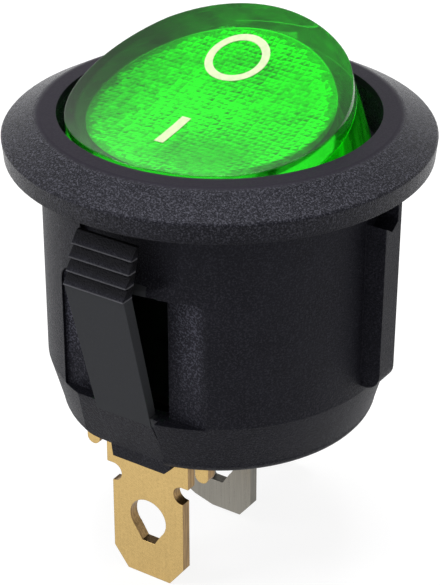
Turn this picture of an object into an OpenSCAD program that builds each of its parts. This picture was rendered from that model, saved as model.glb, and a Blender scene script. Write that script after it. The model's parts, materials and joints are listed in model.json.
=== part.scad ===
// Round illuminated panel rocker switch, snap-in, single pole with an indicator lamp.
// Millimetres. Origin: centre of the flange's underside (the panel face), +Z out of the panel,
// +Y from the I end of the rocker to the O end. The rocker stands at rest with its I end pressed.

/* [Node] */
// Node to draw

/* [Flange] */
// Height of the flange's vertical rim
flange_rim_h = 1.14; // [0.5:0.01:3]
// Draft of the flange's rim on the radius
flange_rim_draft = 0.1; // [0:0.01:0.5]
// Width of the flange's sloping face, on the radius
bevel_w = 1.75; // [0.5:0.01:3]
// Width of the nearly flat band around the opening
band_w = 1.25; // [0.6:0.01:3]
// Height of the ridge where the slope ends
ridge_h = 2.13; // [1.3:0.01:4]
// Height of the flange at the opening
face_h = 2.22; // [1.3:0.01:4]
// Gap around the rocker in the opening
opening_gap = 0.5; // [0.2:0.01:1]

/* [Barrel] */
// Wall of the barrel around the rocker
barrel_wall = 1.15; // [0.8:0.05:2]
// Depth at which the barrel starts to taper
taper_z = 12.1; // [8:0.1:16]
// Barrel radius lost over the taper
taper_in = 0.75; // [0.1:0.05:2]
// Depth of the bottom face
base_z = 15.49; // [12:0.01:20]
// Radius of the rounded bottom edge
base_round = 0.62; // [0.2:0.01:2]
// Gap around the rocker in the barrel
well_gap = 0.3; // [0.15:0.01:0.6]
// Step in the bore below the rocker
bore_step = 0.3; // [0:0.05:0.8]
// Depth at which that narrower bore starts
inner_z = 4.3; // [3:0.1:6]
// Depth of the floor's upper face
floor_z = 13.4; // [11:0.1:15]
// Width of a locating rib
rib_w = 1.56; // [0.8:0.02:3]
// Height of a locating rib above the barrel
rib_out = 1.18; // [0.5:0.01:1.7]
// Depth of a locating rib's lower end
rib_end_z = 11.65; // [8:0.05:15]
// Gap between the flange and a locating rib
rib_gap = 0.45; // [0:0.05:2]
// Radius of a rib's rounded lower end
rib_end_round = 0.9; // [0.2:0.05:1.1]
// Radius of a rib's rounded upper corner
rib_top_round = 0.4; // [0.1:0.05:0.8]
// Draft of a rib's outer face over its length
rib_draft = 0.08; // [0:0.01:0.3]
// Depth of the sides of the notch in a rib's top
rib_notch_z = 1.75; // [0.8:0.05:4]
// Depth of that notch's V below its sides
rib_notch_v = 0.4; // [0.1:0.05:1]
// Wall left beside that notch
rib_notch_wall = 0.35; // [0.2:0.05:0.6]

/* [Latch] */
// Width of a latch arm
latch_w = 3.8; // [2:0.1:6]
// Offset of a latch arm from the centre plane
latch_off = -0.15; // [-1.5:0.05:1.5]
// Depth of the top of the grip wedge
wedge_top_z = 1.3; // [1:0.05:3]
// Depth of the widest point of the wedge
wedge_end_z = 4.0; // [3:0.05:6]
// Height of the wedge's top above the barrel
wedge_top_out = 0.75; // [0:0.05:1]
// Height of the wedge's widest point above the barrel
wedge_end_out = 1.85; // [0.5:0.05:2.2]
// Number of grip steps
grip_steps = 4; // [2:1:8]
// Depth of each grip step
grip_depth = 0.28; // [0.05:0.01:0.3]
// Depth of the arm's plain face under the last step
arm_in = 0.12; // [0.05:0.01:0.3]
// Thickness of a latch arm
latch_t = 0.6; // [0.4:0.05:1.5]
// Thickness of the wedge at its top
wedge_top_t = 0.45; // [0.3:0.05:1]
// Depth of a latch arm's root
root_z = 12.7; // [10:0.1:14]
// Depth of a latch arm's face under the barrel at its root
root_in = 0.7; // [0.5:0.05:1.7]
// Depth of the foot under a latch arm
foot_z = 16.3; // [15.5:0.01:18]
// Depth of the foot's outer face under the barrel
foot_in = 1.6; // [0.8:0.05:1.9]
// Thickness of the foot
foot_t = 0.5; // [0.3:0.05:1]
// Slot beside a latch arm, on its narrow side
slot_near = 0.4; // [0.2:0.05:2]
// Slot beside a latch arm, on its other side
slot_far = 0.6; // [0.2:0.05:3]
// Recess beside the wedge, on that side
recess_far = 1.9; // [0.2:0.05:3]
// Depth at which the recess behind the wedge starts to run out
recess_end_z = 3.4; // [3:0.05:5]
// Depth of the top of the latch slot
slot_top_z = 0.35; // [0:0.05:2]
// Depth of the wall behind the wedge under the barrel
slot_floor_in = 0.65; // [0.3:0.05:0.9]
// Depth of the flat behind a latch arm, under the barrel
flat_in = 1.28; // [0.8:0.02:1.4]
// Reach of that flat to the slot's narrow side
flat_near_w = 4.4; // [3:0.05:4.8]
// Depth of the top of that flat
flat_top_z = 4.55; // [3:0.05:8]
// Depth of the bottom of that flat
flat_end_z = 12.2; // [9:0.05:14]
// Corner radius of that flat
flat_round = 1.1; // [0.2:0.05:2]

/* [Rocker] */
// Height of the rocker's pivot axis above the panel face
pivot_z = -0.77; // [-3:0.01:1]
// Tilt of the rocker to either side
tilt = 15.2; // [8:0.1:20]
// Height of the dished top above the pivot, at its centre
top_h = 4.03; // [2:0.01:6]
// Radius of the dished top
dish_r = 26.3; // [15:0.1:60]
// Lens radius at the pivot's height
lens_base_r = 8.3; // [7:0.01:8.6]
// Lens radius lost per millimetre of height
lens_draft = 0.125; // [0:0.005:0.3]
// Reach of the lens's ends beyond its radius, from the pivot
lens_end_out = 0.66; // [0.3:0.01:1.2]
// Lens wall thickness
lens_wall = 1.1; // [0.5:0.05:2]
// Lens top thickness
lens_top_t = 1.6; // [0.5:0.05:2]
// Depth of the lens's cheeks below the pivot
cheek_h = 2.6; // [1.5:0.1:4]
// Half length of a cheek along the rocking direction
cheek_half = 4.6; // [2:0.1:6]
// Height of the lens's lower edge at its ends
end_edge_h = 0.5; // [-1:0.1:2]
// Trunnion diameter
trunnion_d = 2.0; // [1:0.1:3]
// Length of a trunnion
trunnion_len = 1.02; // [0.5:0.01:1.2]
// Running clearance of the trunnions, on the radius
run_clear = 0.05; // [0.02:0.01:0.1]
// Assembly clearance between nested pieces
fit_clear = 0.05; // [0.02:0.01:0.1]
// Clearance of the swinging lens from the well
swing_clear = 0.12; // [0.05:0.01:0.3]
// Diffuser thickness
diffuser_t = 0.6; // [0.4:0.05:1]
// Height of the diffuser skirt's lower edge
diffuser_edge_h = 1.0; // [0:0.1:2]

/* [Marks] */
// Thickness of the printed marks
ink_t = 0.04; // [0.02:0.01:0.1]
// Outer diameter of the O mark
off_d = 3.64; // [2:0.02:5]
// Line width of the O mark
off_line = 0.46; // [0.2:0.02:1]
// Place of the O mark along the rocker
off_y = 3.4; // [2:0.05:5]
// Sideways place of the O mark
off_x = -0.28; // [-1:0.02:1]
// Line width of the I mark
on_line = 0.56; // [0.2:0.02:1]
// Length of the I mark
on_len = 2.65; // [1:0.05:4]
// Place of the I mark along the rocker
on_y = -3.27; // [-5:0.01:-2]
// Sideways place of the I mark
on_x = -0.11; // [-1:0.01:1]

/* [Lamp tray] */
// Height of the tray's upper face above the pivot
tray_h = -1.7; // [-3:0.1:0]
// Tray thickness
tray_t = 0.7; // [0.4:0.05:1.2]
// Plunger bore diameter
plunger_bore = 2.1; // [1.5:0.05:3]
// Wall of the plunger tube
tube_wall = 0.55; // [0.4:0.05:1]
// Depth of the tube's mouth below the pivot
tube_mouth = 4.2; // [3:0.1:5]
// Depth of the tube's closed top below the rocker's top
tube_down = 2.83; // [2.63:0.01:3.3]
// Thickness of the tube's closed top
tube_lid = 0.6; // [0.4:0.05:0.9]
// Lamp diameter
lamp_d = 3.0; // [2:0.1:4]
// Lamp length
lamp_len = 6.0; // [4:0.1:8]
// Sideways place of the lamp
lamp_x = -3.6; // [-5:0.1:-2.5]
// Height of the lamp's axis above the pivot
lamp_h = -0.1; // [-1:0.1:1]
// Glass thickness
glass_t = 0.3; // [0.2:0.05:0.5]
// Electrode diameter
electrode_d = 0.5; // [0.3:0.05:0.8]
// Length of an electrode
electrode_len = 3.2; // [2:0.1:4]
// Length of an electrode on the leads' side of the lamp's middle
electrode_root = 1.4; // [0.5:0.1:2]
// Inner radius of the lamp's neck
neck_r = 0.7; // [0.5:0.05:1]
// Length of the lamp's neck
lamp_neck = 0.5; // [0.2:0.05:1]
// Lead diameter
lead_d = 0.3; // [0.2:0.05:0.5]
// Half the distance between the lamp's two leads
lead_gap = 0.45; // [0.3:0.05:0.6]
// Resistor diameter
resistor_d = 1.8; // [1:0.1:2.5]
// Resistor length
resistor_len = 3.6; // [2:0.1:5]
// Sideways place of the resistor
resistor_x = 3.7; // [2.5:0.1:5]
// Distance of the lamp's lead beside the resistor from its axis
lead_side = 1.4; // [1.2:0.05:1.6]

/* [Mechanism] */
// Distance from the pivot to the plunger's tip
plunger_reach = 5.5; // [4:0.05:7]
// Plunger tip radius
tip_r = 0.6; // [0.3:0.05:1]
// Height of the bridge's valley above the panel face
valley_z = -6.48; // [-8:0.01:-5]
// Tilt of the bridge to either side
bridge_tilt = 5.07; // [2:0.01:10]
// Slope of the bridge's arms by the valley
bridge_slope = 19; // [10:1:30]
// Bridge strip thickness
bridge_t = 0.5; // [0.3:0.05:1]
// Bridge strip width
bridge_w = 3.2; // [2:0.1:4]
// Half length of the bridge
bridge_half = 6.0; // [4:0.1:7]
// Half length of its sloping middle
bridge_mid = 2.2; // [1:0.1:3]
// Place of the contacts along the bridge
contact_y = 5.2; // [4:0.1:6]
// Contact head diameter
contact_d = 2.0; // [1:0.1:3]
// Contact head thickness
contact_t = 0.35; // [0.2:0.05:0.6]
// Gap left between the closed contacts
contact_gap = 0.03; // [0.01:0.01:0.1]

/* [Terminals] */
// Place of the outer terminals, in from the bore between them
pitch_in = 1.3; // [1.1:0.05:3]
// Tab width
tab_w = 4.76; // [3:0.01:7]
// Tab thickness
tab_t = 0.65; // [0.4:0.05:1]
// Depth of the tab's tip
tab_end_z = 24.3; // [20:0.05:30]
// Tip chamfer on the width
tab_chamfer_w = 0.94; // [0.2:0.01:2]
// Tip chamfer on the length
tab_chamfer_l = 1.25; // [0.2:0.01:2]
// Depth of the tips of the common and supply tabs
common_end_z = 23.55; // [20:0.05:30]
// Rise of the common tab's hole
common_eye_up = 0.25; // [0:0.05:1]
// Shoulder width
shoulder_w = 5.5; // [4:0.05:7]
// Depth of the notches' centres
notch_z = 18.0; // [16:0.05:20]
// Notch radius
notch_r = 0.57; // [0.3:0.01:1]
// Depth of the tab hole's centre
eye_z = 20.38; // [18:0.01:23]
// Tab hole radius
eye_r = 1.22; // [0.8:0.01:2]
// Depth of the hole's flat lower end
eye_end_z = 21.98; // [20:0.01:24]
// Width of the hole's flat lower end
eye_end_w = 0.84; // [0.3:0.01:2]
// Half width of the root in the floor
root_half = 4.08; // [3:0.01:5]
// Width of a root lug
lug_w = 0.85; // [0.4:0.05:2]
// Depth of a root lug's rounded end
lug_end_z = 16.6; // [15.6:0.05:18]
// Height of the lamp tongue's upper face
tongue_z = -12.3; // [-13:0.05:-10]
// Half width of that tongue
tongue_half = 1.2; // [1:0.05:1.6]
// Place of its riser's edge, in from the bore
riser_in = 4.6; // [4.5:0.05:5.5]
// Width of the supply terminal's riser and shelf
stem_w = 3.8; // [3:0.1:4.6]
// Reach of that shelf past the contact
shelf_past = 1.4; // [1.3:0.05:2]
// Sideways place of the lamp spring
lamp_spring_x = 3.4; // [2.6:0.1:5]
// Place of the lamp spring's seat on the tongue
lamp_spring_y = -4.9; // [-6:0.1:-4]
// Place of the lamp spring's seat on the tray
lamp_seat_y = -4.0; // [-5:0.1:-3]
// Lamp spring radius
lamp_spring_r = 0.8; // [0.5:0.05:1.2]
// Lamp spring turns
lamp_spring_turns = 9; // [4:1:14]
// Plunger spring turns
plunger_spring_turns = 6; // [4:1:14]
// Gap between the plunger spring and its bore
spring_side = 0.15; // [0.05:0.05:0.3]
// Spring wire diameter
spring_wire = 0.24; // [0.1:0.02:0.4]

/* [Hidden] */
$fn = 96;
eps = 0.01;
ink_down = 0.5;
ink_blank = 3;
far = 60;
blank_h = top_h + 2;
opening_r = lens_base_r + opening_gap;
ridge_r = opening_r + band_w;
flange_r = ridge_r + bevel_w;
well_r = lens_base_r + well_gap;
inner_r = well_r - bore_step;
barrel_r = well_r + barrel_wall;
pitch = inner_r - pitch_in;
lamp_root_x = inner_r - riser_in;
rib_reach = barrel_r + rib_out;
wedge_top_y = barrel_r + wedge_top_out;
wedge_end_y = barrel_r + wedge_end_out;
root_y = barrel_r - root_in;
foot_y = barrel_r - foot_in;
slot_floor_y = barrel_r - slot_floor_in;
flat_y = barrel_r - flat_in;
flat_far_w = sqrt(barrel_r * barrel_r - flat_y * flat_y) + 0.15;
lens_end_r = lens_base_r + lens_end_out;
trunnion_reach = lens_base_r + trunnion_len;
taper_r = barrel_r - taper_in;
trunnion_r = trunnion_d / 2;
slot_hole_z = wedge_end_z + 0.5;
recess_foot = 0.1;
tray_under = tray_h - tray_t;
tube_r = plunger_bore / 2 + tube_wall;
plunger_r = plunger_bore / 2 - run_clear;
plunger_top = -1.9;
tube_top = top_h - tube_down;
chamber_top = tube_top - tube_lid;
fulcrum_r = tab_t / 2;
fulcrum_z = valley_z - bridge_t - fulcrum_r;
arm_rise = bridge_mid * tan(bridge_slope);
contact_under = valley_z + arm_rise - bridge_t - contact_t - fulcrum_z;
closed_z = fulcrum_z + contact_under * cos(bridge_tilt) - contact_y * sin(bridge_tilt);
fixed_top = closed_z - contact_d / 2 * sin(bridge_tilt) - contact_gap;
shelf_top = fixed_top - contact_t;
seat_world = [lamp_spring_x,
              lamp_seat_y * cos(tilt) - tray_under * sin(tilt),
              pivot_z + lamp_seat_y * sin(tilt) + tray_under * cos(tilt)];
black = [0.09, 0.09, 0.1];
green = [0.1, 0.8, 0.15];
brass = [0.8, 0.68, 0.4];
silver = [0.68, 0.67, 0.64];
cream = [0.9, 0.95, 0.75];
white = [0.92, 0.92, 0.9];

// ---------- helpers ----------
// places a piece of the rocker, drawn with its pivot at the origin
module in_rocker() translate([0, 0, pivot_z]) rotate([tilt, 0, 0]) children();

// places a piece of the lamp, drawn with the lamp's middle at the origin
module in_lamp() in_rocker() translate([lamp_x, 0, lamp_h]) children();

// turns a piece of the bridge, drawn untilted in the switch's frame, to its rest tilt
module in_bridge()
    translate([0, 0, fulcrum_z]) rotate([-bridge_tilt, 0, 0]) translate([0, 0, -fulcrum_z]) children();

// both sides that are half a turn apart
module twice() for (a = [0, 180]) rotate([0, 0, a]) children();

// a (y, z) outline swept along X between two places
module along_x(x0, x1) translate([x0, 0, 0]) rotate([90, 0, 90]) linear_extrude(x1 - x0) children();

// an (x, z) outline swept along Y between two places
module along_y(y0, y1) translate([0, y1, 0]) rotate([90, 0, 0]) linear_extrude(y1 - y0) children();

// round wire through a list of points
module wire(points, d) {
    for (i = [0 : len(points) - 2]) {
        v = points[i + 1] - points[i];
        translate(points[i]) rotate([0, acos(v[2] / norm(v)), atan2(v[1], v[0])])
            cylinder(h = norm(v), d = d, $fn = 24);
    }
    for (i = [1 : len(points) - 2]) translate(points[i]) sphere(d = d + 2 * eps, $fn = 24);
}

// helical spring from z = 0 to z = length, both ends included
module coil(length, r, wire_d, turns) {
    steps = 24;
    sides = 8;
    w = wire_d / 2;
    n = turns * steps;
    rise = (length - wire_d) / n;
    points = [for (i = [0 : n], j = [0 : sides - 1])
        let (a = i * 360 / steps, b = j * 360 / sides, q = r + w * cos(b))
        [q * cos(a), q * sin(a), w + i * rise + w * sin(b)]];
    skin = [for (i = [0 : n - 1], j = [0 : sides - 1])
        let (k = (j + 1) % sides)
        [i * sides + j, i * sides + k, (i + 1) * sides + k, (i + 1) * sides + j]];
    first = [[for (j = [sides - 1 : -1 : 0]) j]];
    last = [[for (j = [0 : sides - 1]) n * sides + j]];
    polyhedron(points, concat(first, skin, last), convexity = 10);
}

// ---------- housing ----------
module shell_profile() polygon(concat(
    [[0, face_h], [opening_r + 0.15, face_h], [ridge_r - 0.35, ridge_h + 0.06],
     [ridge_r, ridge_h - 0.05], [flange_r - 0.08, flange_rim_h + 0.02],
     [flange_r, flange_rim_h - 0.08], [flange_r - flange_rim_draft, 0], [barrel_r, 0],
     [barrel_r, -taper_z]],
    [for (a = [0 : 15 : 90]) [taper_r - base_round + base_round * cos(a),
                              -base_z + base_round - base_round * sin(a)]],
    [[0, -base_z]]));

module rib() difference() {
    foot_x = rib_reach - rib_draft - rib_end_round;
    along_y(-rib_w / 2, rib_w / 2) polygon(concat(
        [[barrel_r - 0.5, -rib_end_z], [barrel_r - 0.5, -rib_gap]],
        [for (a = [90 : -15 : 0]) [rib_reach - rib_top_round + rib_top_round * cos(a),
                                   rib_top_round * sin(a) - rib_gap - rib_top_round]],
        [for (a = [0 : -15 : -90]) [foot_x + rib_end_round * cos(a),
                                    rib_end_round * (1 + sin(a)) - rib_end_z]]));
    // V-shaped notch in the top, with a wall left on one side
    edge = rib_w / 2 - rib_notch_wall;
    along_x(barrel_r - 1, rib_reach + 1) polygon([[-rib_w, 0], [-rib_w, -rib_notch_z],
        [-rib_w / 2, -rib_notch_z], [(edge - rib_w / 2) / 2, -rib_notch_z - rib_notch_v],
        [edge, -rib_notch_z], [edge, 0]]);
}

// outline of the latch arm with its grip steps, in (y, z), for the arm on the -Y side
function step_z(i) = -wedge_top_z - (wedge_end_z - wedge_top_z) * i / grip_steps;
function step_y(i) = -wedge_top_y - (wedge_end_y - wedge_top_y) * i / grip_steps;
module latch_profile() polygon(concat(
    [for (i = [0 : grip_steps - 1], s = [0, 1])
        s == 0 ? [step_y(i) + grip_depth, step_z(i)] : [step_y(i + 1), step_z(i + 1) + 0.04]],
    [[step_y(grip_steps) + arm_in, step_z(grip_steps)],
     [-root_y, -root_z], [-foot_y, -base_z], [-foot_y + 0.05, -foot_z],
     [foot_t - foot_y, -foot_z], [foot_t - foot_y, -floor_z - 0.2], [latch_t - root_y, -root_z],
     [arm_in + latch_t + 0.1 - wedge_end_y, -wedge_end_z],
     [wedge_top_t - wedge_top_y, -wedge_top_z]]));

module latch() intersection() {
    along_x(latch_off - latch_w / 2, latch_off + latch_w / 2 + 1) latch_profile();
    // the arm is straight, and the foot below it steps sideways under the slot
    along_y(-wedge_end_y - 1, 0) polygon([
        [latch_off - latch_w / 2, 0], [latch_off - latch_w / 2, -root_z],
        [latch_off - latch_w / 2 + 0.3, -foot_z], [latch_off + latch_w / 2 - 0.05, -foot_z],
        [latch_off + latch_w / 2 + 0.45, -foot_z + 0.5], [latch_off + latch_w / 2 + 0.3, -base_z + 0.3],
        [latch_off + latch_w / 2 - 0.2, -root_z], [latch_off + latch_w / 2, -wedge_end_z],
        [latch_off + latch_w / 2, 0]]);
}

// reach of the latch arm's outer face at a depth
function arm_face(z) = root_y + (wedge_end_y - arm_in - root_y) * (root_z - z) / (root_z - wedge_end_z);

module latch_room() {
    near = latch_off - latch_w / 2 - slot_near;
    far = latch_off + latch_w / 2;
    // shallow recess behind the wedge, with a ramp at its lower end
    along_x(near, far + recess_far) polygon([[-barrel_r - 1, -slot_top_z], [-slot_floor_y, -slot_top_z],
        [-slot_floor_y, -recess_end_z], [-barrel_r - 0.05, recess_foot - slot_hole_z],
        [-barrel_r - 1, recess_foot - slot_hole_z]]);
    // slot around the arm, open to the inside
    translate([near, -barrel_r - 1, -flat_end_z])
        cube([far + slot_far - near, barrel_r - inner_r + 2, flat_end_z - slot_hole_z]);
    // flat on the barrel, with rounded upper corners
    along_y(-barrel_r - 1, -flat_y) union() {
        translate([-flat_near_w, -flat_end_z])
            square([flat_near_w + flat_far_w, flat_end_z - flat_top_z - flat_round]);
        translate([flat_round - flat_near_w, -flat_end_z])
            square([flat_near_w + flat_far_w - 2 * flat_round, flat_end_z - flat_top_z]);
        for (x = [flat_round - flat_near_w, flat_far_w - flat_round])
            translate([x, -flat_top_z - flat_round]) circle(r = flat_round);
    }
    // facet below the arm, which runs out in the barrel on one side
    along_x(-flat_near_w, latch_off + latch_w / 2 + 0.33)
        polygon([[0.03 - arm_face(flat_end_z), -flat_end_z + eps], [0.03 - root_y, -root_z],
                 [0.03 - foot_y, -base_z - eps],
                 [-barrel_r - 1, -base_z - eps], [-barrel_r - 1, -flat_end_z + eps]]);
}

module terminal_slot(y) {
    translate([-root_half - fit_clear, y - tab_t / 2 - fit_clear, -base_z - 1])
        cube([2 * (root_half + fit_clear), tab_t + 2 * fit_clear, base_z - floor_z + 1 + eps]);
}

module housing() color(black) {
    difference() {
        union() {
            rotate_extrude() shell_profile();
            twice() rib();
        }
        translate([0, 0, -slot_top_z]) cylinder(h = slot_top_z + face_h + 1, r = opening_r);
        translate([0, 0, -inner_z]) cylinder(h = inner_z, r = well_r);
        translate([0, 0, -floor_z]) cylinder(h = floor_z, r = inner_r);
        twice() latch_room();
        rotate([0, 90, 0]) translate([-pivot_z, 0, -trunnion_reach - fit_clear])
            cylinder(h = 2 * (trunnion_reach + fit_clear), r = trunnion_r + run_clear);
        for (y = [-pitch, 0, pitch]) terminal_slot(y);
    }
    twice() latch();
}

// ---------- rocker ----------
function lens_r(h) = lens_base_r - lens_draft * max(h, 0);

// the lens's round form between two heights: straight below the pivot, tapering above it,
// and within the ball that swings clear of the opening
module lens_cone(shrink, h0, h1) intersection() {
    union() {
        translate([0, 0, max(h0, 0)]) cylinder(h = h1 - max(h0, 0),
            r1 = lens_r(h0) - shrink, r2 = lens_r(h1) - shrink);
        if (h0 < 0) translate([0, 0, h0]) cylinder(h = -h0, r = lens_base_r - shrink);
    }
    sphere(r = lens_end_r - shrink, $fn = 180);
}

// everything inside the dish, which lies a distance under the rocker's top surface
module dish(under) rotate([0, 90, 0]) translate([-(top_h + dish_r), 0, 0])
    cylinder(h = far, r = dish_r + under, center = true, $fn = 360);

module end_cut(extra) for (s = [-1, 1]) along_x(-far / 2, far / 2)
    polygon([[s * cheek_half, -cheek_h - extra], [s * far / 2, -cheek_h - extra],
             [s * far / 2, end_edge_h], [s * (cheek_half + 2), end_edge_h]]);

module lens() color(green, 0.6) in_rocker() {
    difference() {
        lens_cone(0, -cheek_h, blank_h);
        dish(0);
        difference() { lens_cone(lens_wall, -cheek_h - 1, blank_h); dish(lens_top_t); }
        end_cut(1);
        // the cheeks' lower edges keep clear of the well while they swing
        difference() {
            translate([0, 0, -cheek_h - 1]) cylinder(h = cheek_h + 1, r = lens_base_r + 1);
            sphere(r = well_r - swing_clear, $fn = 180);
        }
    }
    for (s = [-1, 1]) translate([s * (lens_base_r - lens_wall + 0.1), 0, 0]) rotate([0, s * 90, 0])
        cylinder(h = trunnion_reach - lens_base_r + lens_wall - 0.1, r = trunnion_r);
}

module diffuser() color(green) in_rocker() difference() {
    lens_cone(lens_wall + fit_clear, diffuser_edge_h, blank_h);
    dish(lens_top_t + fit_clear);
    difference() {
        lens_cone(lens_wall + fit_clear + diffuser_t, 0, blank_h);
        dish(lens_top_t + fit_clear + diffuser_t);
    }
}

module ink() color(cream) in_rocker() difference() {
    intersection() { dish(0); children(); }
    dish(-ink_t);
}

module mark_off() ink() translate([off_x, off_y, top_h - ink_down]) difference() {
    cylinder(h = ink_blank, d = off_d);
    translate([0, 0, -1]) cylinder(h = ink_blank + 2, d = off_d - 2 * off_line);
}

module mark_on() ink() translate([on_x - on_line / 2, on_y - on_len / 2, top_h - ink_down])
    cube([on_line, on_len, ink_blank]);

// ---------- lamp and its tray, in the rocker ----------
module lamp_tray() color(white) in_rocker() {
    tray_r = lens_base_r - lens_wall - fit_clear;
    difference() {
        union() {
            intersection() {
                translate([0, 0, tray_under]) cylinder(h = tray_t, r = tray_r);
                cube([far, 2 * cheek_half - 0.2, far], center = true);
            }
            translate([0, 0, -tube_mouth]) cylinder(h = tube_mouth + tube_top, r = tube_r);
            for (y = [-1, 1]) translate([lamp_x - 1.4, y * 1.9 - 0.4, tray_h - eps])
                cube([2.8, 0.8, lamp_h - tray_h - 0.5]);
            for (y = [-1, 1]) translate([resistor_x - 0.9, y * 1.1 - 0.3, tray_h - eps])
                cube([1.8, 0.6, 0.5]);
        }
        translate([0, 0, -tube_mouth - 1]) cylinder(h = tube_mouth + 1 + chamber_top, d = plunger_bore);
        translate([lamp_x, 0, lamp_h]) rotate([90, 0, 0])
            cylinder(h = lamp_len, r = lamp_d / 2 + fit_clear, center = true);
        translate([resistor_x, 0, resistor_h()]) rotate([90, 0, 0])
            cylinder(h = lamp_len, r = resistor_d / 2 + fit_clear, center = true);
        // holes for the two leads
        translate([lamp_spring_x, lamp_seat_y, tray_under - 1])
            cylinder(h = tray_t + 2, d = lead_d + 0.1, $fn = 24);
        translate([0, 0, chamber_top - eps]) cylinder(h = 2, d = lead_d + 0.1, $fn = 24);
    }
}
function resistor_h() = tray_h + 0.2 + resistor_d / 2;

// glass shell, round at its +Y end and with an open neck for the leads at the other
module bulb(r, top, neck, bottom) rotate([90, 0, 0]) rotate_extrude() difference() {
    union() {
        translate([0, r - top]) circle(r = r);
        translate([0, r - top]) square([r, top - r + bottom - lamp_neck - r / 2]);
        polygon([[0, bottom - lamp_neck - r / 2 - eps], [r, bottom - lamp_neck - r / 2 - eps],
                 [neck, bottom - lamp_neck], [neck, bottom], [0, bottom]]);
    }
    translate([-far, -far]) square([far, 2 * far]);
}

module lamp_envelope() color([1, 0.95, 0.85], 0.5) in_lamp() difference() {
    bulb(lamp_d / 2, lamp_len / 2, neck_r + glass_t, lamp_len / 2);
    bulb(lamp_d / 2 - glass_t, lamp_len / 2 - glass_t, neck_r, lamp_len / 2 + eps);
}

module lamp_electrodes() color(silver) in_lamp() for (s = [-1, 1])
    translate([s * lead_gap, electrode_len - electrode_root, 0]) rotate([90, 0, 0])
        cylinder(h = electrode_len, d = electrode_d, $fn = 32);

module lamp_leads() color(silver) in_rocker() {
    y0 = -electrode_root - eps;
    y1 = -lamp_len / 2 - 0.5;
    y2 = y1 - 0.6;
    back = resistor_len / 2;
    // to the plunger's chamber
    wire([[lamp_x + lead_gap, y0, lamp_h], [lamp_x + lead_gap, y1, lamp_h], [0, y1, tube_top + 0.2],
          [0, 0, tube_top + 0.2], [0, 0, chamber_top - 0.3]], lead_d);
    // to the resistor
    wire([[lamp_x - lead_gap, y0, lamp_h], [lamp_x - lead_gap, y2, lamp_h],
          [resistor_x - lead_side, y2, lamp_h - 0.1],
          [resistor_x - lead_side, back + 0.8, lamp_h - 0.1],
          [resistor_x, back + 0.8, resistor_h()], [resistor_x, back + fit_clear, resistor_h()]], lead_d);
}

module resistor() color([0.75, 0.62, 0.45]) in_rocker() translate([resistor_x, 0, resistor_h()])
    rotate([90, 0, 0]) {
        cylinder(h = resistor_len, d = resistor_d * 0.86, center = true);
        for (s = [-1, 1]) translate([0, 0, s * (resistor_len / 2 - 0.4)])
            cylinder(h = 0.8, d = resistor_d, center = true);
    }

// from the resistor's other end down through the tray to the lamp spring's seat
module resistor_leads() color(silver) in_rocker() {
    e = -resistor_len / 2 - fit_clear;
    wire([[resistor_x, e, resistor_h()], [resistor_x, e - 0.5, resistor_h()],
          [lamp_spring_x, lamp_seat_y, resistor_h() - 0.4],
          [lamp_spring_x, lamp_seat_y, tray_under - 0.1]], lead_d);
}

module plunger() color(brass) in_rocker() rotate_extrude() polygon(concat(
    [for (a = [0 : 15 : 90]) [tip_r * sin(a), tip_r - tip_r * cos(a) - plunger_reach]],
    [[tip_r, -tube_mouth - 0.2], [plunger_r, -tube_mouth - 0.2], [plunger_r, plunger_top],
     [0, plunger_top]]));

module plunger_spring() color(silver) in_rocker() translate([0, 0, plunger_top + eps])
    coil(chamber_top - plunger_top - 2 * eps, plunger_bore / 2 - spring_wire / 2 - spring_side,
         spring_wire, plunger_spring_turns);

// ---------- contacts ----------
module bridge_profile() {
    top = [[-bridge_half, arm_rise], [-bridge_mid, arm_rise], [0, 0], [bridge_mid, arm_rise],
           [bridge_half, arm_rise]];
    polygon(concat([for (p = top) [p[0], p[1] + valley_z]],
                   [for (i = [4 : -1 : 0]) [top[i][0], top[i][1] + valley_z - bridge_t]]));
}

module contact_bridge() color([0.8, 0.5, 0.35]) in_bridge() difference() {
    along_x(-bridge_w / 2, bridge_w / 2) bridge_profile();
    translate([0, contact_y, valley_z]) cylinder(h = 3, r = contact_d / 4 + 0.01);
    // seat on the fulcrum
    rotate([0, 90, 0]) translate([-fulcrum_z, 0, -5]) cylinder(h = 10, r = fulcrum_r + run_clear);
}

module bridge_contact() color(silver) in_bridge() {
    translate([0, contact_y, fulcrum_z + contact_under]) cylinder(h = contact_t, d = contact_d);
    translate([0, contact_y, fulcrum_z + contact_under])
        cylinder(h = contact_t + bridge_t, r = contact_d / 4);
}

module supply_contact() color(silver) {
    translate([0, contact_y, shelf_top]) cylinder(h = contact_t, d = contact_d + 0.4);
    translate([0, contact_y, shelf_top - tab_t]) cylinder(h = tab_t + 0.1, r = contact_d / 4);
}

// ---------- terminals ----------
// tip of a tab, as (x, z) points from its -X edge to its +X edge
function even_tip(end_z) = [
    [-tab_w / 2, tab_chamfer_l - end_z], [tab_chamfer_w - tab_w / 2, -end_z],
    [tab_w / 2 - tab_chamfer_w, -end_z], [tab_w / 2, tab_chamfer_l - end_z]];
// the common tab is shorter, with one corner worn down to a shallow slope
common_tip = [[-tab_w / 2, 0.8 - common_end_z], [0.85 - tab_w / 2, 0.35 - common_end_z],
              [-0.3, -common_end_z], [tab_w / 2 - 0.75, -common_end_z],
              [tab_w / 2, 0.95 - common_end_z]];

// round hole that runs out into a flat-ended wedge
module eye() {
    circle(r = eye_r);
    polygon([[-eye_r * cos(20), -eye_r * sin(20)], [-eye_end_w / 2, eye_z - eye_end_z],
             [eye_end_w / 2, eye_z - eye_end_z], [eye_r * cos(20), -eye_r * sin(20)]]);
}

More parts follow.
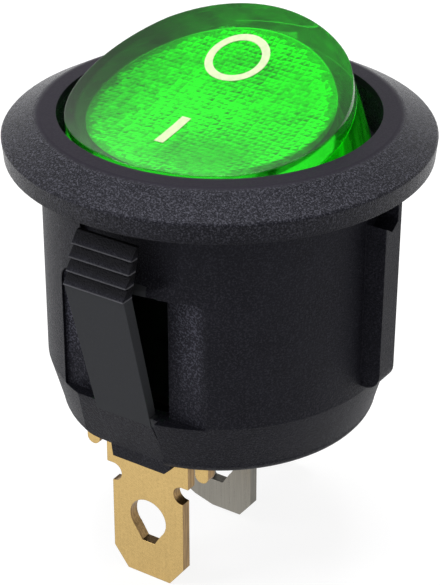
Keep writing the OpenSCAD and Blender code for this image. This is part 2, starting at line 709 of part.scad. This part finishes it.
// the part of a terminal that is below the floor, and its root in the floor
module tab_outline(tip, eye_up) difference() {
    union() {
        polygon(concat([[tab_w / 2, -base_z], [-tab_w / 2, -base_z]], tip));
        translate([-shoulder_w / 2, notch_r / 2 - notch_z]) square([shoulder_w, notch_z - base_z]);
        translate([-root_half, 0.15 - base_z]) square([2 * root_half, base_z - floor_z - 0.15]);
        for (s = [-1, 1]) translate([s * (root_half - lug_w / 2), lug_w / 2 - lug_end_z]) {
            translate([-lug_w / 2, 0]) square([lug_w, lug_end_z - base_z]);
            circle(d = lug_w);
        }
    }
    for (s = [-1, 1]) translate([s * (tab_w / 2 - 0.05), -notch_z]) {
        circle(r = notch_r);
        translate([s > 0 ? 0 : -1, -notch_r]) square([1, 2 * notch_r]);
    }
    translate([0, eye_up - eye_z]) eye();
}

module terminal_tab(y, tip, eye_up = 0)
    along_y(y - tab_t / 2, y + tab_t / 2) tab_outline(tip, eye_up);

module common_terminal() color(silver) {
    terminal_tab(0, common_tip, common_eye_up);
    // post with a rounded knife edge between two ears
    along_y(-tab_t / 2, tab_t / 2) {
        translate([-tab_w / 2, -floor_z - eps]) square([tab_w, fulcrum_z + floor_z + eps]);
        for (s = [-1, 1]) translate([s * (tab_w / 2 - 0.3) - 0.3, fulcrum_z - eps])
            square([0.6, 1.3]);
    }
    rotate([0, 90, 0]) translate([-fulcrum_z, 0, -tab_w / 2]) cylinder(h = tab_w, r = fulcrum_r);
}

module supply_terminal() color(silver) {
    terminal_tab(pitch, even_tip(common_end_z));
    along_y(pitch - tab_t / 2, pitch + tab_t / 2) translate([-stem_w / 2, -floor_z - eps])
        square([stem_w, shelf_top + floor_z + eps]);
    difference() {
        translate([-stem_w / 2, contact_y - shelf_past, shelf_top - tab_t])
            cube([stem_w, pitch - contact_y + shelf_past, tab_t]);
        translate([0, contact_y, shelf_top - 2]) cylinder(h = 4, r = contact_d / 4 + 0.01);
    }
}

module lamp_terminal() color(brass) {
    back = -pitch - tab_t / 2;
    terminal_tab(-pitch, even_tip(tab_end_z));
    along_y(back, back + tab_t) translate([-2.4, -floor_z - eps])
        square([lamp_root_x + 2.4, tongue_z + floor_z + eps]);
    // tongue that carries the spring
    translate([0, 0, tongue_z - tab_t]) linear_extrude(tab_t) polygon([
        [lamp_root_x - 0.1, back + 0.1], [lamp_spring_x + tongue_half, back + 0.8],
        [lamp_spring_x + tongue_half, lamp_spring_y + 1.1],
        [lamp_spring_x - tongue_half, lamp_spring_y + 1.1],
        [lamp_spring_x - tongue_half, back + 0.1]]);
}

// coil between the lamp terminal's tongue and the tray
module lamp_spring() color(silver) {
    foot = [lamp_spring_x, lamp_spring_y, tongue_z + 0.02];
    v = seat_world - foot;
    translate(foot + [0, 0, 0.12]) rotate([-atan2(v[1], v[2]), 0, 0])
        coil(norm(v) - 0.3, lamp_spring_r, spring_wire, lamp_spring_turns);
}

housing();
lens();
diffuser();
mark_on();
mark_off();
lamp_tray();
lamp_envelope();
lamp_electrodes();
lamp_leads();
resistor();
resistor_leads();
plunger();
plunger_spring();
contact_bridge();
bridge_contact();
supply_terminal();
supply_contact();
common_terminal();
lamp_terminal();
lamp_spring();
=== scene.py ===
import bpy, json
from math import radians, sin, cos
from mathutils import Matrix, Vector


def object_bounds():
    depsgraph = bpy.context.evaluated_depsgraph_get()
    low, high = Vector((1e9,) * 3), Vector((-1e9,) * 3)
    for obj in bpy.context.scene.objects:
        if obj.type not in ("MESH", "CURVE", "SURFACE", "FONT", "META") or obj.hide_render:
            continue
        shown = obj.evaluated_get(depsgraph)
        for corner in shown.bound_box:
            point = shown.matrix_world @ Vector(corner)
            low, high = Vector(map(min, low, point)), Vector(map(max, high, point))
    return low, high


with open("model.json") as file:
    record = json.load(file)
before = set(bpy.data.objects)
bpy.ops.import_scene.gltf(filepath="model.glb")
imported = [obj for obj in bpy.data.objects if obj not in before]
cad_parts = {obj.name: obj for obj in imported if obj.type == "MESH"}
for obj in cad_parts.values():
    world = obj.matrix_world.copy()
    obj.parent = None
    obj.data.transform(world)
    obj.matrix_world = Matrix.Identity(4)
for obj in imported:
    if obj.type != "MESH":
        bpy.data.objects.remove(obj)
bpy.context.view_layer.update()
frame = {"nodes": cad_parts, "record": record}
nodes = frame["nodes"]

MM = 0.001
WHITE = (1, 1, 1, 1)

# ---------- places on the housing, in its own frame; a depth is counted down from the panel ----------
BAND_R = 9.9 * MM  # outer radius of the smooth band around the opening
BAND_Z = (1.7 * MM, 1.9 * MM)  # the band starts between these heights
ARM_X = (-2.05 * MM, 1.75 * MM)  # the latch arm's sides
ARM_Z = (3.95 * MM, 12.75 * MM)  # depths where its plain face starts and ends
ARM_OUT = (8.6 * MM, 8.8 * MM)  # the arm's face lies outside these distances from the middle
BARREL_R = 9.75 * MM
GRIP_Z = (1.3 * MM, 4.0 * MM)  # depths between which the latch arm's grip steps lie
GRIP_STEPS = 4
FLAT_Y = 8.47 * MM  # distance of the flats behind the latch arms from the middle
FLAT_X = (2.4 * MM, 3.4 * MM, 4.1 * MM, 4.8 * MM)  # where the painted light on a flat fades in and out
FLAT_LOW = (11.8 * MM, 7.0 * MM)  # depths between which it fades in upwards
BARREL_TOP = (0.6 * MM, 0.1 * MM)  # depths between which the barrel meets the flange
SLOT_Z = 15.2 * MM  # the terminals' metal above this depth is seen only through the latch slots, and is painted with shade there

# ---------- places on the rocker; along runs from the I end to the O end, rise from its pivot ----------
joints = {j["name"]: j for j in frame["record"]["behaviour"]["joints"]}
TILT = -joints["rocker_tilt"]["range_deg"][0] / 2
PIVOT_Z = joints["rocker_tilt"]["pos_m"][2]
RING_R = (7.0 * MM, 7.3 * MM)  # the lens's clear edge starts between these radii
RING_RISE = (3.85 * MM, 3.95 * MM)
HOT = (-1.45 * MM, -0.2 * MM)  # brightest place
OFF_XY = (-0.28 * MM, 3.4 * MM)  # middle of the O mark
DULL = (2.3 * MM, -4.2 * MM)  # dullest place, near the pressed end
DIFFUSER_R = (6.78 * MM, 6.86 * MM)  # the lit field ends between these radii
PYRAMID = 0.36 * MM  # pitch of the diffuser's pyramids
STREAKS = dict(size=0.9 * MM, rough=0.6, stretch=(1, 1, 0.12))  # upright streaks in the skirts

# ---------- colours ----------
NYLON = (0.0035, 0.0035, 0.0056, 1)
NYLON_PALE = (0.006, 0.006, 0.009, 1)
# pale grain specks, used also as painted glints
NYLON_SPECK_AND_GLINT = (0.06, 0.06, 0.075, 1)
# painted light on the flats behind the latch arms
NYLON_PAINTED_FLAT_LIGHT = (0.1, 0.1, 0.13, 1)
NYLON_BAND = (0.011, 0.009, 0.014, 1)
# painted sheen on the latch arms' smooth faces
NYLON_ARM_PAINTED_SHEEN = (0.046, 0.04784, 0.05152, 1)
# painted shadow under each grip lip, and a painted highlight on each lip
NYLON_PAINTED_LIP_SHADOW = (0.002, 0.002, 0.002, 1)
NYLON_PAINTED_LIP_HIGHLIGHT = (0.13, 0.13, 0.143, 1)
# painted shade on one side of the lens
LENS_PAINTED_SHADE = (0.012, 0.42, 0.012, 1)
LENS_CLEAR = (0.03, 0.9, 0.03, 1)
# painted shade on the lens's clear edge
LENS_PAINTED_EDGE_SHADE = (0.004, 0.1, 0.004, 1)
STRAY_LIGHT = (0.05, 1, 0.03, 1)
DIFFUSER_GREEN = (0.02, 0.4, 0.03, 1)
LAMP_NEAR = (0.16, 1, 0.18, 1)
LAMP_FAR = (0.03, 1, 0.03, 1)
# painted shade on the terminals' metal within the housing
METAL_PAINTED_SHADE = (0.02, 0.016, 0.012, 1)

# ---------- parts of a noise's range over which a change runs ----------
SOFT, FIRM, SHARP = (0.3, 0.7), (0.35, 0.65), (0.38, 0.62)


# ---------- node helpers ----------
class Value:
    """A value in a node tree, joined to others with the usual signs."""

    def __init__(self, tree, socket):
        self.tree, self.socket = tree, socket

    def __add__(self, other):
        return self.tree.math("ADD", self, other)

    def __sub__(self, other):
        return self.tree.math("SUBTRACT", self, other)

    def __rsub__(self, other):
        return self.tree.math("SUBTRACT", other, self)

    def __mul__(self, other):
        return self.tree.math("MULTIPLY", self, other)

    def __truediv__(self, other):
        return self.tree.math("DIVIDE", self, other)

    def __abs__(self):
        return self.tree.math("ABSOLUTE", self)


class Tree:
    """A node tree, with short calls to add and join nodes."""

    def __init__(self, tree, output):
        self.tree = tree
        self.tree.nodes.clear()
        self.out = self.new(output)

    def new(self, kind, **props):
        n = self.tree.nodes.new("ShaderNode" + kind)
        for k, v in props.items():
            setattr(n, k, v)
        return n

    def put(self, value, socket):
        if isinstance(value, Value):
            value = value.socket
        if hasattr(value, "is_output"):
            self.tree.links.new(value, socket)
        else:
            socket.default_value = value

    def math(self, op, a, b=0.0):
        n = self.new("Math", operation=op)
        self.put(a, n.inputs[0])
        self.put(b, n.inputs[1])
        return Value(self, n.outputs[0])

    def split(self, vector):
        n = self.new("SeparateXYZ")
        self.put(vector, n.inputs[0])
        return [Value(self, socket) for socket in n.outputs]

    def coord(self):
        return self.new("TexCoord").outputs["Object"]

    def axes(self):
        return self.split(self.coord())

    def facing(self):
        return self.split(self.new("TexCoord").outputs["Normal"])

    def distance(self, x, y, x0=0.0, y0=0.0):
        dx, dy = x - x0, y - y0
        return self.math("SQRT", dx * dx + dy * dy)

    def ramp(self, value, low, high, to_low=0.0, to_high=1.0):
        """to_low where value is under low, to_high where it is over high, and a soft step between."""
        n = self.new("MapRange", interpolation_type="SMOOTHSTEP")
        self.put(value, n.inputs["Value"])
        for socket, v in zip(("From Min", "From Max", "To Min", "To Max"), (low, high, to_low, to_high)):
            self.put(v, n.inputs[socket])
        return Value(self, n.outputs["Result"])

    def fade(self, value, low, high, to_high=0.0):
        """1 where value is under low, and to_high where it is over high."""
        return self.ramp(value, low, high, 1.0, to_high)

    def vary(self, noise, low=0.0, high=1.0, over=SOFT):
        """From low to high as the noise rises."""
        return self.ramp(noise, *over, low, high)

    def noise(self, size, detail=2.0, rough=0.5, stretch=(1, 1, 1)):
        """Noise whose blobs are about size metres wide, from 0 to 1 around 0.5."""
        m = self.new("Mapping")
        self.put(self.coord(), m.inputs["Vector"])
        m.inputs["Scale"].default_value = stretch
        n = self.new("TexNoise")
        self.put(m.outputs[0], n.inputs["Vector"])
        n.inputs["Scale"].default_value = 1.0 / size
        n.inputs["Detail"].default_value = detail
        n.inputs["Roughness"].default_value = rough
        return Value(self, n.outputs["Fac"])

    def mix(self, fac, a, b):
        n = self.new("Mix", data_type="RGBA")
        self.put(fac, n.inputs["Factor"])
        self.put(a, n.inputs[6])
        self.put(b, n.inputs[7])
        return n.outputs[2]

    def round_edges(self, radius, samples=6):
        n = self.new("Bevel")
        n.samples = samples
        n.inputs["Radius"].default_value = radius
        return n.outputs[0]

    def bump(self, height, distance, strength=1.0, normal=None):
        n = self.new("Bump")
        self.put(height, n.inputs["Height"])
        n.inputs["Distance"].default_value = distance
        self.put(strength, n.inputs["Strength"])
        if normal:
            self.put(normal, n.inputs["Normal"])
        return n.outputs[0]

    def seen_or_lit(self, seen, lit):
        """Ends the tree: seen is for the camera, mirrors and glass, and lit is the light it gives."""
        path = self.new("LightPath")
        camera, glossy, through = [path.outputs["Is %s Ray" % ray]
                                   for ray in ("Camera", "Glossy", "Transmission")]
        mixer = self.new("MixShader")
        self.put(self.math("MAXIMUM", self.math("MAXIMUM", camera, glossy), through), mixer.inputs[0])
        self.put(lit, mixer.inputs[1])
        self.put(seen, mixer.inputs[2])
        self.put(mixer.outputs[0], self.out.inputs[0])


class Material(Tree):
    """A material with a Principled shader."""

    def __init__(self, name):
        self.mat = bpy.data.materials.new(name)
        self.mat.use_nodes = True
        super().__init__(self.mat.node_tree, "OutputMaterial")
        self.bsdf = self.new("BsdfPrincipled")
        self.put(self.bsdf.outputs[0], self.out.inputs[0])

    def set(self, **values):
        for k, v in values.items():
            self.put(v, self.bsdf.inputs[k.replace("_", " ")])


def grey(v):
    return (v, v, v, 1)


def shaded(color, by=1.0):
    return tuple(by * c for c in color) + (1,)


def dress(name, mat):
    mesh = nodes[name].data
    if mesh.materials:
        for i in range(len(mesh.materials)):
            mesh.materials[i] = mat
    else:
        mesh.materials.append(mat)


# ---------- materials ----------
def black_plastic():
    """Moulded black nylon: grained, with a smoother band around the opening and smooth latch arms, and
    painted light: glints in the pale grain, sheen on the arms, a lit patch on the flats behind them, and
    shade and highlight on the grip steps.
    """
    m = Material("black_plastic")
    x, y, z = m.axes()
    out_y = abs(y)
    hair = 0.02 * MM  # the arm's sides are this sharp

    band_soft = 0.15 * MM
    band = m.fade(m.distance(x, y), BAND_R - band_soft, BAND_R + band_soft) * m.ramp(z, *BAND_Z)
    # the two arms are half a turn apart, so x is turned with the side
    across = x * m.math("SIGN", y * -1.0)
    arm = m.ramp(across, ARM_X[0] - hair, ARM_X[0]) * m.fade(across, ARM_X[1], ARM_X[1] + hair)
    arm = arm * m.ramp(out_y, *ARM_OUT)
    arm = arm * m.ramp(z, -ARM_Z[1] - 0.1 * MM, -ARM_Z[1])
    arm = arm * m.fade(z, -ARM_Z[0], 0.03 * MM - ARM_Z[0])
    smooth = m.math("MAXIMUM", band, arm)

    # grip steps: painted shadow under each lip, and a painted highlight on each lip
    step = (z * -1.0 - GRIP_Z[0]) / ((GRIP_Z[1] - GRIP_Z[0]) / GRIP_STEPS)
    place = m.math("FRACT", step)
    grip = m.ramp(step, -0.02, 0.0) * m.fade(step, GRIP_STEPS, GRIP_STEPS + 0.04)
    grip = grip * m.ramp(out_y, BARREL_R + 0.1 * MM, BARREL_R + 0.2 * MM)
    painted_lip_highlight = grip * m.ramp(place, 0.82, 0.92)
    under = grip * m.fade(place, 0.45, 0.8)

    # painted light on the flats behind the arms, fading to painted shade by the arm and lower down
    flat = (m.ramp(out_y, FLAT_Y - 0.03 * MM, FLAT_Y - 0.01 * MM)
            * m.fade(out_y, FLAT_Y + 0.01 * MM, FLAT_Y + 0.03 * MM))
    flat = flat * m.ramp(abs(x), FLAT_X[0], FLAT_X[1], 0.1) * m.fade(abs(x), FLAT_X[2], FLAT_X[3])
    flat = flat * m.ramp(z, -FLAT_LOW[0], -FLAT_LOW[1], 0.2)

    grain = m.noise(0.09 * MM, rough=0.6)
    # pale specks: partly grain of the moulding, partly painted glints, stronger on the flange
    speck_and_glint = m.ramp(m.noise(0.1 * MM, rough=0.6), 0.47, 0.66)
    speck_glint_on_barrel = 0.35  # the pale specks and painted glints are weaker on the barrel than on the flange
    color = m.mix(m.vary(m.noise(2.2 * MM, 3.0)), NYLON, NYLON_PALE)
    for amount, tone in (
            (speck_and_glint * m.ramp(z, -0.1 * MM, 0.6 * MM, speck_glint_on_barrel), NYLON_SPECK_AND_GLINT),
            ((speck_and_glint + 0.15) * flat, NYLON_PAINTED_FLAT_LIGHT),
            # painted sheen: the latch arms are coloured lighter than the rest of the moulding
            (band, NYLON_BAND), (arm, NYLON_ARM_PAINTED_SHEEN), (under, NYLON_PAINTED_LIP_SHADOW), (painted_lip_highlight, NYLON_PAINTED_LIP_HIGHLIGHT)):
        color = m.mix(amount, color, tone)

    rougher_smooth, rougher_barrel = 0.3, 0.18
    rough = m.vary(grain, 0.22, 0.34) + smooth * rougher_smooth
    rough = rough + m.ramp(z, -BARREL_TOP[0], -BARREL_TOP[1], rougher_barrel, 0.0)
    m.set(Base_Color=color, Roughness=rough, Specular_IOR_Level=0.12, Specular_Tint=(0.84, 0.84, 1.0, 1),
          Normal=m.bump(grain, 0.06 * MM, m.ramp(smooth, 0, 1, 1.0, 0.1), m.round_edges(0.07 * MM)))
    return m.mat


def in_rocker(y, z):
    """Place along the rocker and above its pivot, for a point of the rocker at rest."""
    t = radians(TILT)
    up = z - PIVOT_Z
    return y * cos(t) + up * sin(t), up * cos(t) - y * sin(t)


def green_lens():
    """Clear green plastic, with a painted glow for stray light from the lamp in it, and painted shade on
    one side and on its clear edge.
    """
    m = Material("green_lens")
    x, y, z = m.axes()
    along, rise = in_rocker(y, z)
    radius = m.distance(x, along)

    # painted shade: the lens is coloured darker towards one side
    tone = x + (m.noise(3.0 * MM) - 0.5) * (4 * MM)
    color = m.mix(m.ramp(tone, -7.5 * MM, -2.0 * MM), LENS_PAINTED_SHADE, LENS_CLEAR)
    # painted shade: its clear edge is coloured darker, apart from the two ends
    painted_ring_shade = m.ramp(radius, *RING_R) * m.ramp(rise, *RING_RISE)
    painted_ring_shade = painted_ring_shade * m.fade(along, 0.0, 6.0 * MM) * m.ramp(along, -6.2 * MM, -4.2 * MM)
    color = m.mix(painted_ring_shade, color, LENS_PAINTED_EDGE_SHADE)

    # painted glow for stray lamp light: soft patches in the raised end, and streaks low in one side of
    # the skirt
    patch = m.ramp(m.noise(1.6 * MM), 0.42, 0.6, 0.0, 0.45)
    streak = m.vary(m.noise(**STREAKS), 0.1, 0.8, SHARP)
    low_part = streak * m.fade(rise, 2.4 * MM, 3.4 * MM) * m.ramp(x, 0.0, 5.0 * MM)
    stray = patch * m.ramp(along, 5.0 * MM, 7.0 * MM) + low_part
    stray = stray * m.ramp(radius, 6.8 * MM, 7.4 * MM)
    stray_strength = 0.08

    m.set(Base_Color=color, IOR=1.47, Specular_IOR_Level=0.15, Specular_Tint=(0.6, 1, 0.6, 1),
          Roughness=m.vary(m.noise(1.5 * MM), 0.01, 0.035),
          Normal=m.bump(m.noise(0.8 * MM, 1.0), 0.006 * MM, 0.1, m.round_edges(0.12 * MM)),
          Transmission_Weight=m.vary(m.noise(2.4 * MM, 1.0), 0.93, 0.97, FIRM),
          Emission_Color=STRAY_LIGHT, Emission_Strength=stray * stray_strength)
    return m.mat


def green_diffuser():
    """Lit from behind, as a painted glow: rows of small pyramids, brightest by the lamp, and dull
    towards its rim, with painted shade on one side of each pyramid.
    """
    m = Material("green_diffuser")
    x, y, z = m.axes()
    along, rise = in_rocker(y, z)
    radius = m.distance(x, along)

    # pyramids, in slightly wavy rows
    wobble = (m.noise(0.7 * MM) - 0.5) * (0.9 * PYRAMID)
    u = (x + wobble) / PYRAMID
    v = (along + wobble) / PYRAMID
    fu = m.math("FRACT", u) - 0.5
    fv = m.math("FRACT", v) - 0.5
    on_side = m.math("GREATER_THAN", abs(fu), abs(fv))
    height = 0.5 - m.math("MAXIMUM", abs(fu), abs(fv))
    # painted shade: in the glow, one side of each pyramid is lit and the other shaded
    painted_facet_shade = m.math("SIGN", fu) * (on_side * -0.6) + m.math("SIGN", fv) * (1.0 - on_side)
    # each pyramid is a little brighter or duller than the next
    cell = m.new("CombineXYZ")
    m.put(m.math("FLOOR", u), cell.inputs[0])
    m.put(m.math("FLOOR", v), cell.inputs[1])
    white_noise = m.new("TexWhiteNoise", noise_dimensions="2D")
    m.put(cell.outputs[0], white_noise.inputs["Vector"])
    dot = Value(m, white_noise.outputs["Value"])
    lively = m.vary(m.noise(3.5 * MM, 1.0), 0.35, 0.8, FIRM)
    grit = m.noise(0.34 * MM, rough=0.7) - 0.5
    dot_share, grit_share = 0.8, 2.6
    shade = painted_facet_shade * lively + (dot - 0.5) * dot_share + grit * grit_share

    # painted glow for the lamp's light over the top, with duller places and a ragged end
    far = m.distance(x, along, *HOT)
    by_lamp, far_off, in_mark, at_dull, near_rim, past_rim = 1.02, 0.6, 0.74, 0.42, 0.22, 0.15
    glow = m.ramp(far, 0.3 * MM, 6.0 * MM, by_lamp, far_off)
    glow = glow * m.ramp(m.distance(x, along, *OFF_XY), 1.0 * MM, 1.9 * MM, in_mark)
    glow = glow * m.ramp(m.distance(x, along, *DULL), 0.8 * MM, 4.6 * MM, at_dull)
    glow = glow + m.ramp(radius, 5.0 * MM, 6.4 * MM, 0.0, near_rim)
    ragged = m.vary(m.noise(0.6 * MM), over=FIRM) * (0.4 * MM)
    glow = glow * m.fade(radius + ragged + dot * (0.3 * MM), *DIFFUSER_R, past_rim)
    top = glow * (shade + 1.0)
    # painted glow on the skirt: brightest at its upper edge, with dull streaks
    skirt = m.vary(m.noise(**STREAKS), 0.25, 1.0, SHARP) * m.ramp(rise, 1.0 * MM, 3.2 * MM, 0.35, 1.5)

    nx, ny, nz = m.facing()
    faces_up = m.ramp(nz, 0.55, 0.65)
    faces_out = m.ramp(x * nx + y * ny, 1.0 * MM, 2.0 * MM) * (1.0 - faces_up)
    light = top * faces_up + skirt * faces_out
    lit_strength = 0.72
    m.set(Base_Color=DIFFUSER_GREEN, Roughness=m.vary(m.noise(0.5 * MM), 0.35, 0.5),
          Normal=m.bump(height * PYRAMID, 1.0, 0.5),
          Emission_Color=m.mix(m.ramp(far, 0.0, 3.0 * MM), LAMP_NEAR, LAMP_FAR),
          Emission_Strength=light * lit_strength)
    return m.mat


def tab_metal(name, color, edge, brush, rough):
    """Rolled strip: brushed along its length on the flat faces, darker and rougher on the cut edges, and
    painted with shade where it lies within the housing.
    """
    m = Material(name)
    lines = m.noise(0.1 * MM, 3.0, 0.65, (1, 1, 0.04))
    grain = lines * brush + m.noise(0.16 * MM, 3.0, 0.7) * (1 - brush)
    cloud = m.vary(m.noise(2.0 * MM)) * 0.25
    flat = m.ramp(abs(m.facing()[1]), 0.7, 0.8)
    dark = shaded(color, 0.84)
    face = m.mix(cloud, m.mix(m.vary(grain, over=FIRM), dark, shaded(color)), dark)
    cut = m.mix(m.ramp(lines, 0.4, 0.6), shaded(edge, 0.6), shaded(edge))
    # painted shade: the metal within the housing is coloured dark
    painted_inside_shade = m.ramp(m.axes()[2], -SLOT_Z, 0.5 * MM - SLOT_Z)
    rougher_cut = 0.12
    m.set(Base_Color=m.mix(painted_inside_shade, m.mix(flat, cut, face), METAL_PAINTED_SHADE), Metallic=1.0,
          Roughness=m.vary(grain, rough - 0.05, rough + 0.1) + (1.0 - flat) * rougher_cut,
          Normal=m.bump(grain, 0.012 * MM, 0.45, m.round_edges(0.06 * MM)))
    return m.mat


def metal(name, color, rough=0.25):
    m = Material(name)
    grain = m.noise(0.12 * MM, rough=0.6)
    m.set(Base_Color=m.mix(m.vary(grain), shaded(color, 0.85), shaded(color)),
          Metallic=1.0, Roughness=m.vary(grain, rough - 0.06, rough + 0.08),
          Normal=m.bump(grain, 0.01 * MM, 0.4))
    return m.mat


def plain(name, color, rough=0.5):
    m = Material(name)
    grain = m.noise(0.3 * MM, 3.0, 0.6)
    m.set(Base_Color=m.mix(m.vary(grain), shaded(color, 0.86), shaded(color)),
          Roughness=m.vary(grain, rough - 0.08, rough + 0.08), Normal=m.bump(grain, 0.012 * MM, 0.3))
    return m.mat


def clear_glass():
    m = Material("lamp_glass")
    waves = m.noise(1 * MM)
    m.set(Base_Color=WHITE, IOR=1.5, Roughness=m.vary(waves, 0.0, 0.03),
          Normal=m.bump(waves, 0.01 * MM, 0.1), Transmission_Weight=1.0)
    return m.mat


nickel = tab_metal("nickel", (0.3, 0.285, 0.25), edge=(0.2, 0.19, 0.165), brush=0.85, rough=0.3)
brass = tab_metal("brass", (0.62, 0.43, 0.17), edge=(0.36, 0.23, 0.1), brush=0.3, rough=0.26)
steel = metal("spring_steel", (0.6, 0.6, 0.62))
wire = metal("tinned_wire", (0.75, 0.75, 0.74))
silver = metal("silver", (0.85, 0.84, 0.8))
ink = plain("cream_ink", (0.62, 0.72, 0.42), 0.45)
finish = {
    "housing": black_plastic(), "lens": green_lens(), "diffuser": green_diffuser(),
    "mark_on": ink, "mark_off": ink,
    "lamp_tray": plain("white_plastic", (0.75, 0.75, 0.72)),
    "lamp_envelope": clear_glass(), "lamp_electrodes": wire, "lamp_leads": wire,
    "resistor": plain("resistor_body", (0.6, 0.48, 0.32), 0.35), "resistor_leads": wire,
    "plunger": metal("turned_brass", (0.75, 0.54, 0.25)), "plunger_spring": steel, "lamp_spring": steel,
    "contact_bridge": metal("copper_strip", (0.8, 0.48, 0.32)),
    "bridge_contact": silver, "supply_contact": silver,
    "supply_terminal": nickel, "common_terminal": nickel, "lamp_terminal": brass,
}
for name, mat in finish.items():
    dress(name, mat)


# ---------- floor and surroundings ----------
FLOOR_SIZE = 1.2
FLOOR_GAP = 0.00002  # the tabs' tips stand this far above the floor
FLOOR_SENDS = 0.5  # the floor's colour for the light that it sends on
FLOOR_PALE, FLOOR_GLOW = 0.22, 0.88  # what is seen of it: a pale colour that takes shadow, and a glow
WORLD_LIGHT = 0.35

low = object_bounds()[0]
bpy.ops.mesh.primitive_plane_add(size=FLOOR_SIZE, location=(0, 0, low[2] - FLOOR_GAP))
floor = bpy.context.object
floor.name = "floor"
floor_mat = bpy.data.materials.new("floor")
floor_mat.use_nodes = True
f = Tree(floor_mat.node_tree, "OutputMaterial")
sends, pale = f.new("BsdfDiffuse"), f.new("BsdfDiffuse")
sends.inputs[0].default_value = grey(FLOOR_SENDS)
pale.inputs[0].default_value = grey(FLOOR_PALE)
glow = f.new("Emission")
glow.inputs["Strength"].default_value = FLOOR_GLOW
both = f.new("AddShader")
f.put(pale.outputs[0], both.inputs[0])
f.put(glow.outputs[0], both.inputs[1])
f.seen_or_lit(both.outputs[0], sends.outputs[0])
floor.data.materials.append(floor_mat)

world = bpy.data.worlds.new("studio")
bpy.context.scene.world = world
world.use_nodes = True
w = Tree(world.node_tree, "OutputWorld")
backdrop, room = w.new("Background"), w.new("Background")
backdrop.inputs[0].default_value = WHITE
room.inputs[0].default_value = WHITE
room.inputs[1].default_value = WORLD_LIGHT
w.seen_or_lit(backdrop.outputs[0], room.outputs[0])


def from_middle(azimuth, elevation, distance):
    a, e = radians(azimuth), radians(elevation)
    return Vector((sin(a) * cos(e), -cos(a) * cos(e), sin(e))) * distance


def area_light(name, azimuth, elevation, distance, size, power):
    """A square soft light that faces the object."""
    data = bpy.data.lights.new(name, "AREA")
    data.shape = "SQUARE"
    data.size = size
    data.energy = power
    o = bpy.data.objects.new(name, data)
    bpy.context.collection.objects.link(o)
    o.location = from_middle(azimuth, elevation, distance)
    o.rotation_euler = (-o.location).to_track_quat("-Z", "Y").to_euler()


area_light("top", azimuth=213, elevation=83, distance=0.4, size=0.2, power=1.5)
area_light("fill", azimuth=-40, elevation=35, distance=0.4, size=0.15, power=0.6)

# the camera's place and turn were fitted to the photo
CAMERA_AT = dict(azimuth=33.5, elevation=25.007, distance=0.11559)
CAMERA_TURN = (61.014, 0, 33.49)
cam = bpy.data.cameras.new("camera")
cam.sensor_width = 36
cam.lens = 130.7
cam.clip_start = 0.001
camera = bpy.data.objects.new("camera", cam)
bpy.context.collection.objects.link(camera)
camera.location = from_middle(**CAMERA_AT)
camera.rotation_euler = [radians(angle) for angle in CAMERA_TURN]
bpy.context.scene.camera = camera
bpy.context.scene.view_settings.view_transform = "Standard"
